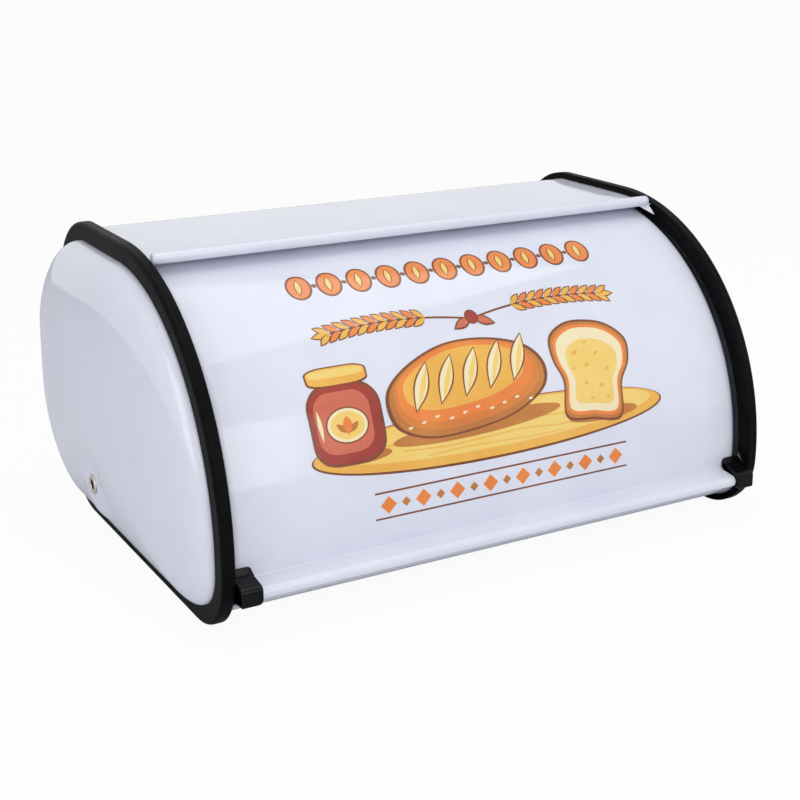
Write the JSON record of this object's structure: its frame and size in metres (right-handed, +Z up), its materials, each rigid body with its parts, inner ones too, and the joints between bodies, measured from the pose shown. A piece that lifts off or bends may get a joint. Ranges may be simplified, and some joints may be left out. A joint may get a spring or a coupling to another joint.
{
  "type": "roll-top bread box",
  "caption": "Enamelled steel bread box with domed end caps, black edge trims and a curved lid that turns back under the top panel.",
  "frame": {"origin": "middle of the footprint, on the surface that the box stands on", "axes": "+X along the box to its right end, +Y towards its back, +Z up"},
  "size_m": [0.3952, 0.2506, 0.1804],
  "materials": {
    "white_enamel": "gloss enamel on sheet steel",
    "black_trim": "satin black moulded edging",
    "black_bumper": "semi-gloss black moulding",
    "nickel_rivet": "nickel plate",
    "nylon_spacer": "natural nylon"
  },
  "bodies": {
    "box": {"end_cap_left": "white_enamel", "end_cap_right": "white_enamel", "edge_trim_left": "black_trim", "edge_trim_right": "black_trim", "top_back_panel": "white_enamel", "base_panel": "white_enamel", "pivot_rivet_left": "nickel_rivet", "pivot_rivet_right": "nickel_rivet", "pivot_spacer_left": "nylon_spacer", "pivot_spacer_right": "nylon_spacer", "pivot_washer_left": "nickel_rivet", "pivot_washer_right": "nickel_rivet"},
    "lid": {"lid_panel": "white_enamel", "lid_arm_left": "white_enamel", "lid_arm_right": "white_enamel", "arm_rivet_low_left": "nickel_rivet", "arm_rivet_low_right": "nickel_rivet", "arm_rivet_middle_left": "nickel_rivet", "arm_rivet_middle_right": "nickel_rivet", "arm_rivet_high_left": "nickel_rivet", "arm_rivet_high_right": "nickel_rivet", "lid_bumper_left": "black_bumper", "lid_bumper_right": "black_bumper"}
  },
  "joints": [
    {"name": "lid_hinge", "type": "hinge", "parent": "box", "child": "lid", "pos_m": [0, 0.02329, 0.0414], "axis": [-1, 0, 0], "range_deg": [0, 56]}
  ]
}
